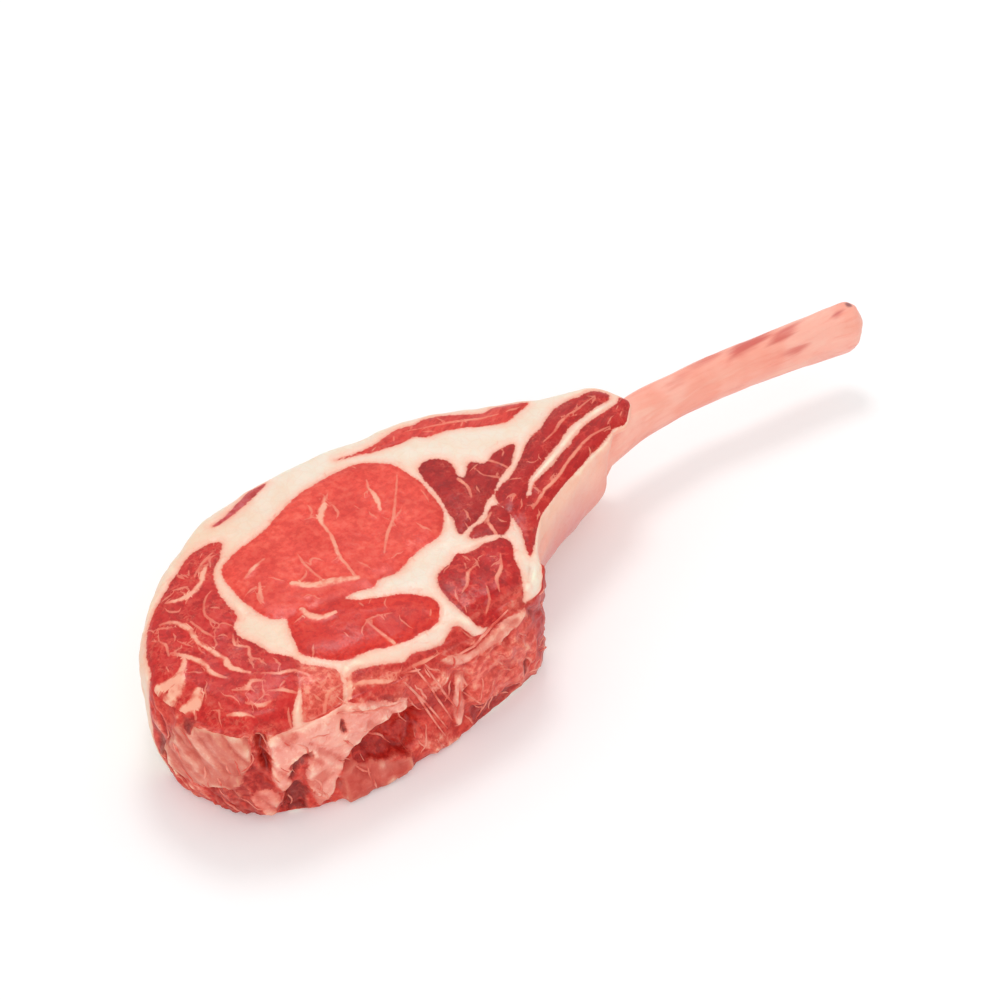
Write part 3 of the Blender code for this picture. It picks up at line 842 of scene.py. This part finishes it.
def swept_tree(name, material):
    """Sweeps an oval along each path, as thick as the path's radius, then adds long grooves and low lumps
    to its surface."""
    tree = bpy.data.node_groups.new(name, "GeometryNodeTree")
    interface = tree.interface
    interface.new_socket("Path", in_out="INPUT", socket_type="NodeSocketGeometry")
    for name in ("Half width", "Half height", "Groove depth", "Lump height"):
        interface.new_socket(name, in_out="INPUT", socket_type="NodeSocketFloat")
    interface.new_socket("Sides", in_out="INPUT", socket_type="NodeSocketInt")
    interface.new_socket("Swept", in_out="OUTPUT", socket_type="NodeSocketGeometry")
    new = tree.nodes.new
    link = tree.links.new
    given = new("NodeGroupInput").outputs
    done = new("NodeGroupOutput").inputs

    circle = new("GeometryNodeCurvePrimitiveCircle")
    circle.inputs["Radius"].default_value = 1.0
    link(given["Sides"], circle.inputs["Resolution"])
    size = new("ShaderNodeCombineXYZ")
    link(given["Half width"], size.inputs["X"])
    link(given["Half height"], size.inputs["Y"])
    size.inputs["Z"].default_value = 1.0
    oval = new("GeometryNodeTransform")
    link(circle.outputs["Curve"], oval.inputs["Geometry"])
    link(size.outputs[0], oval.inputs["Scale"])
    radius = new("GeometryNodeInputRadius")
    sweep = new("GeometryNodeCurveToMesh")
    sweep.inputs["Fill Caps"].default_value = True
    link(given["Path"], sweep.inputs["Curve"])
    link(oval.outputs[0], sweep.inputs["Profile Curve"])
    link(radius.outputs[0], sweep.inputs["Scale"])

    def sums(operation, first, second):
        node = new("ShaderNodeMath")
        node.operation = operation
        link(first, node.inputs[0])
        if isinstance(second, float):
            node.inputs[1].default_value = second
        else:
            link(second, node.inputs[1])
        return node.outputs[0]

    def lumps(scale, along, height):
        place = new("GeometryNodeInputPosition")
        squeeze = new("ShaderNodeVectorMath")
        squeeze.operation = "MULTIPLY"
        squeeze.inputs[1].default_value = (along, 1.0, 1.0)
        link(place.outputs[0], squeeze.inputs[0])
        noise = new("ShaderNodeTexNoise")
        noise.inputs["Scale"].default_value = scale
        noise.inputs["Detail"].default_value = 1.5
        link(squeeze.outputs[0], noise.inputs["Vector"])
        return sums("MULTIPLY", sums("SUBTRACT", noise.outputs["Fac"], 0.5), height)

    grooves = lumps(260.0, 0.06, given["Groove depth"])
    rise = sums("ADD", grooves, lumps(60.0, 0.7, given["Lump height"]))
    outward = new("GeometryNodeInputNormal")
    push = new("ShaderNodeVectorMath")
    push.operation = "SCALE"
    link(outward.outputs["Normal"], push.inputs[0])
    link(rise, push.inputs["Scale"])
    moved_rib = new("GeometryNodeSetPosition")
    link(sweep.outputs[0], moved_rib.inputs["Geometry"])
    link(push.outputs[0], moved_rib.inputs["Offset"])
    smooth = new("GeometryNodeSetShadeSmooth")
    link(moved_rib.outputs[0], smooth.inputs["Geometry"])
    real = new("GeometryNodeRealizeInstances")
    link(smooth.outputs[0], real.inputs[0])
    painted = new("GeometryNodeSetMaterial")
    painted.inputs["Material"].default_value = material
    link(real.outputs[0], painted.inputs["Geometry"])
    link(painted.outputs[0], done[0])
    return tree


def grown(name, data, tree, sizes):
    """Runs a Geometry Nodes tree on the data and keeps the result as a plain mesh object."""
    holder = bpy.data.objects.new(name + "_path", data)
    bpy.context.scene.collection.objects.link(holder)
    modifier = holder.modifiers.new("grow", "NODES")
    modifier.node_group = tree
    sockets = {
        item.name: item.identifier
        for item in tree.interface.items_tree
        if item.item_type == "SOCKET" and item.in_out == "INPUT"
    }
    for label, value in sizes.items():
        modifier[sockets[label]] = value
    bpy.context.view_layer.update()
    graph = bpy.context.evaluated_depsgraph_get()
    mesh = bpy.data.meshes.new_from_object(holder.evaluated_get(graph))
    mesh.name = name
    piece = bpy.data.objects.new(name, mesh)
    bpy.context.scene.collection.objects.link(piece)
    holder.modifiers.remove(modifier)
    bpy.data.objects.remove(holder, do_unlink=True)
    return piece


def bone_material():
    n = Nodes("scraped_bone")
    along = n.stretched(9.0, -0.11)
    ragged_stain_and_shade = n.math("MULTIPLY", n.noise(4.0, 4, 0.4, place=along), 1.4)
    ragged_stain_and_shade = n.math("ADD", n.number("stain"), ragged_stain_and_shade)
    colour = n.mix(n.ramp(n.noise(22, 2), 0.36, 0.66), linear(254, 182, 162), linear(250, 164, 142))
    lines = n.noise(2.6, 4, 0.2, 0.6, place=along)
    colour = n.mix(n.ramp(lines, 0.50, 0.70, 0.0, 0.5), colour, n.tinted(colour, 0.94, 0.74, 0.72))
    colour = n.mix(n.ramp(lines, 0.48, 0.30, 0.0, 0.5), colour, n.tinted(colour, 1.02, 1.16, 1.18))
    pale = n.ramp(n.noise(7.0, 3, 0.5, place=along), 0.55, 0.72, 0.0, 0.5)
    colour = n.mix(pale, colour, linear(255, 200, 178))
    # Painted shade: the side of the bone that faces down is made a little darker and cooler.
    colour = n.mix(n.number("underside_shade"), colour, n.tinted(colour, 0.95, 0.98, 1.04))
    # Stains, and along the lower edge partly a pinker band and partly painted shade.
    colour = n.mix(n.ramp(ragged_stain_and_shade, 0.80, 1.50, 0.0, 0.8), colour, n.tint("stain_and_shade_colour"))
    n.link(n.shader.inputs["Base Color"], colour)
    n.link(n.shader.inputs["Roughness"], n.ramp(n.noise(12, 2), 0.3, 0.7, 0.36, 0.52))
    n.flesh(0.12, (1.0, 0.4, 0.3), 2 * MM)
    n.bump(n.math("ADD", lines, n.math("MULTIPLY", n.noise(5.0, 3), 0.7)), 0.0006, 0.45)
    return n.material


# What scraping left on the bone, and two long bands low along its lower edge that are partly a pinker band
# and partly painted shade: colour, strength, place and half sizes along and round it, in mm.
BONE_STAINS_AND_SHADE = [
    ((206, 74, 66), 1.25, (215, -3, 46), (15, 4)),
    ((210, 86, 76), 1.1, (233, -9, 45.5), (12, 3)),
    ((220, 104, 92), 1.1, (231, -15, 39), (14, 2.6)),
    ((222, 112, 98), 1.0, (196, 2, 46), (16, 4)),
    ((224, 116, 100), 0.9, (175, -1, 46), (12, 4)),
    ((170, 84, 60), 1.2, (251, -11, 45.5), (5, 1.6)),
    ((110, 52, 66), 1.3, (266, -14, 46.5), (1.8, 1.6)),
    ((200, 78, 80), 1.1, (259, -14, 45), (5, 2.4)),
    # Two long bands along the lower edge: partly a pinker band, partly painted shade.
    ((232, 138, 124), 1.0, (170, -4, 27), (30, 3)),
    ((230, 130, 118), 1.0, (225, -13, 25), (32, 3)),
    ((238, 140, 126), 0.8, (262, -22, 30), (9, 5)),
    ((222, 112, 100), 0.9, (215, 6, 30), (18, 5)),
    ((216, 104, 92), 0.9, (252, -2, 36), (9, 5)),
    ((206, 84, 72), 1.0, (150, 9, 36), (8, 5)),
]

rib = grown(
    "rib_bone_scraped", rib_path(), swept_tree("scraped_rib", bone_material()),
    {
        "Half width": RIB_HALF_WIDTH,
        "Half height": RIB_HALF_HEIGHT,
        "Groove depth": 1.3 * MM,
        "Lump height": 1.6 * MM,
        "Sides": 64,
    },
)
rib_points = coordinates(rib.data)
# Stains, with the two bands along the lower edge that are partly painted shade.
stain = np.full(len(rib_points), -0.4)
stain_and_shade_colour = linear(220, 110, 98)
for colour, strength, spot, (half_along, half_round) in BONE_STAINS_AND_SHADE:
    offset = (rib_points - spot) / (half_along, half_round, half_round)
    here = strength * np.exp(-(offset**2).sum(axis=1) * 0.7) - 0.4
    stain_and_shade_colour = np.where((here > stain)[:, None], linear(*colour), stain_and_shade_colour)
    stain = np.maximum(stain, here)
store(rib.data, "stain", stain)
store(rib.data, "stain_and_shade_colour", stain_and_shade_colour)
# How far each place faces down, for the painted shade on the bone's underside.
store(rib.data, "underside_shade", ramp(-normals(rib.data)[:, 2], -0.2, 0.6))
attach(rib, "root")
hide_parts("rib_bone")

# ---------------------------------------------------------------------------------------------------
# Torn threads. Where the backbone was pulled away, tendon and thin sheets of tissue are left on the
# chine side as moist threads that cling to the meat, mostly slanting down and away from the far left.
# ---------------------------------------------------------------------------------------------------

THREAD_COUNT = 90
THREAD_STEP = 1.2
# The longest ones: (along the rim, height) in mm, from the top down.
TENDONS = [
    [(106, 52), (109, 46), (113, 38), (119, 26), (126, 10)],
    [(109, 46), (112, 40), (117, 27), (124, 8)],
    [(113, 53), (116, 46), (121, 34), (129, 12)],
    [(118, 50), (121, 42), (126, 30), (132, 16)],
    [(133, 36), (132.5, 26), (131, 13)],
    [(122, 54), (134, 49), (146, 50), (160, 53)],
    [(60, 55), (70, 52), (82, 49), (95, 44), (106, 40)],
    [(88, 26), (96, 20), (104, 10)],
]


def on_chine_side(along, height):
    """The point of the meat's surface there, or None where there is none."""
    index = int(np.clip(np.searchsorted(starts, along) - 1, 0, len(lengths) - 1))
    run = (rim[index + 1] - rim[index]) / lengths[index]
    outward = Vector((run[1], -run[0], 0.0))
    start = rim[index] + run * (along - starts[index])
    far = Vector((start[0] * MM, start[1] * MM, height * MM)) + outward * 0.02
    hit, normal, _, _ = slab_tree.ray_cast(far, -outward, 0.027)
    return None if hit is None or normal.z > 0.6 else (hit - normal * 0.0001) / MM


def thread_routes():
    routes = []
    for corners in TENDONS:
        routes.append((smooth_line(corners, 8), 0.6))
    rng = np.random.default_rng(41)
    for _ in range(THREAD_COUNT):
        route = [np.array([rng.uniform(4, 186), rng.uniform(8, 54)])]
        lean_over = cloud([[*route[0], 0.0]], 35, 43)[0]
        slope = np.radians(-58 + 50 * lean_over + rng.normal(0, 8))
        for _ in range(int(rng.uniform(4, 13))):
            slope += rng.normal(0, 0.2)
            route.append(route[-1] + THREAD_STEP * np.array([np.cos(slope), np.sin(slope)]))
        routes.append((np.array(route), rng.uniform(0.28, 0.6)))
    return routes


def thread_curves():
    curve = bpy.data.curves.new("thread_paths", "CURVE")
    curve.dimensions = "3D"
    for route, half in thread_routes():
        points = [on_chine_side(*place) for place in route if place[0] < 187 and 2 < place[1] < 54]
        points = [point for point in points if point is not None]
        if len(points) < 4:
            continue
        spline = curve.splines.new("POLY")
        spline.points.add(len(points) - 1)
        taper = np.sin(np.linspace(0.12, np.pi - 0.12, len(points))) ** 0.6
        for item, point, size in zip(spline.points, points, taper * half):
            item.co = (*(point * MM), 1.0)
            item.radius = size
    return curve


def thread_material():
    n = Nodes("torn_threads")
    colour = n.mix(n.ramp(n.noise(8, 3), 0.40, 0.62), linear(244, 150, 130), linear(220, 84, 68))
    n.link(n.shader.inputs["Base Color"], colour)
    n.shader.inputs["Roughness"].default_value = 0.36
    n.shader.inputs["IOR"].default_value = 1.38
    n.flesh(0.15, (1.0, 0.4, 0.3), 1 * MM)
    return n.material


slab_tree = BVHTree.FromObject(meat, bpy.context.evaluated_depsgraph_get())
threads = grown(
    "torn_threads", thread_curves(), swept_tree("threads", thread_material()),
    {
        "Half width": 1.0 * MM,
        "Half height": 1.0 * MM,
        "Groove depth": 0.0,
        "Lump height": 0.3 * MM,
        "Sides": 7,
    },
)
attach(threads, "root")

# ---------------------------------------------------------------------------------------------------
# Floor, light and camera. A plain white table in an even white room, with a small soft lamp high behind
# and a broad one low in front.
# ---------------------------------------------------------------------------------------------------


def white_floor():
    material = bpy.data.materials.new("white_floor")
    material.use_nodes = True
    tree = material.node_tree
    shader = tree.nodes["Principled BSDF"]
    shader.inputs["Base Color"].default_value = (0.93, 0.93, 0.93, 1.0)
    shader.inputs["Roughness"].default_value = 0.9
    shader.inputs["Specular IOR Level"].default_value = 0.1
    path = tree.nodes.new("ShaderNodeLightPath")
    glow = tree.nodes.new("ShaderNodeEmission")
    seen = tree.nodes.new("ShaderNodeMath")
    seen.operation = "MULTIPLY"
    seen.inputs[1].default_value = 0.10
    tree.links.new(path.outputs["Is Camera Ray"], seen.inputs[0])
    tree.links.new(seen.outputs[0], glow.inputs["Strength"])
    both = tree.nodes.new("ShaderNodeAddShader")
    tree.links.new(shader.outputs[0], both.inputs[0])
    tree.links.new(glow.outputs[0], both.inputs[1])
    tree.links.new(both.outputs[0], tree.nodes["Material Output"].inputs["Surface"])
    return material


bpy.ops.mesh.primitive_plane_add(size=6.0, location=(0.08, 0.0, -0.0002))
floor = bpy.context.object
floor.name = "floor"
floor.data.materials.append(white_floor())

# Name, width in metres, where the lamp hangs and the point that it is turned to.
LAMP_POWER = 3.6
for name, width, spot, target in (
    ("key", 0.4, (0.35, 0.45, 1.25), (0.05, 0.0, 0.0)),
    ("fill", 1.2, (-0.75, -1.0, 0.5), (0.05, 0.0, 0.03)),
):
    light = bpy.data.lights.new(name, "AREA")
    light.shape = "DISK"
    light.size = width
    light.energy = LAMP_POWER
    lamp = bpy.data.objects.new(name, light)
    lamp.location = spot
    lamp.rotation_euler = (Vector(target) - lamp.location).to_track_quat("-Z", "Y").to_euler()
    bpy.context.scene.collection.objects.link(lamp)

world = bpy.data.worlds.new("room")
world.use_nodes = True
background = world.node_tree.nodes["Background"]
background.inputs["Color"].default_value = (1.0, 1.0, 1.0, 1.0)
light_path = world.node_tree.nodes.new("ShaderNodeLightPath")
level = world.node_tree.nodes.new("ShaderNodeMapRange")
level.inputs["To Min"].default_value = 0.82
level.inputs["To Max"].default_value = 1.0
world.node_tree.links.new(light_path.outputs["Is Camera Ray"], level.inputs["Value"])
world.node_tree.links.new(level.outputs["Result"], background.inputs["Strength"])
bpy.context.scene.world = world
bpy.context.scene.view_settings.view_transform = "Standard"

VIEW_AZIMUTH = np.radians(-41.0)
VIEW_HEIGHT = np.radians(45.0)
VIEW_DISTANCE = 1.15
aim = Vector((0.100, 0.030, 0.0))
back = Vector((
    np.sin(VIEW_AZIMUTH) * np.cos(VIEW_HEIGHT),
    -np.cos(VIEW_AZIMUTH) * np.cos(VIEW_HEIGHT),
    np.sin(VIEW_HEIGHT),
))
camera_data = bpy.data.cameras.new("camera")
camera_data.lens = 95.0
camera = bpy.data.objects.new("camera", camera_data)
camera.location = aim + back * VIEW_DISTANCE
camera.rotation_euler = back.to_track_quat("Z", "Y").to_euler()
bpy.context.scene.collection.objects.link(camera)
bpy.context.scene.camera = camera
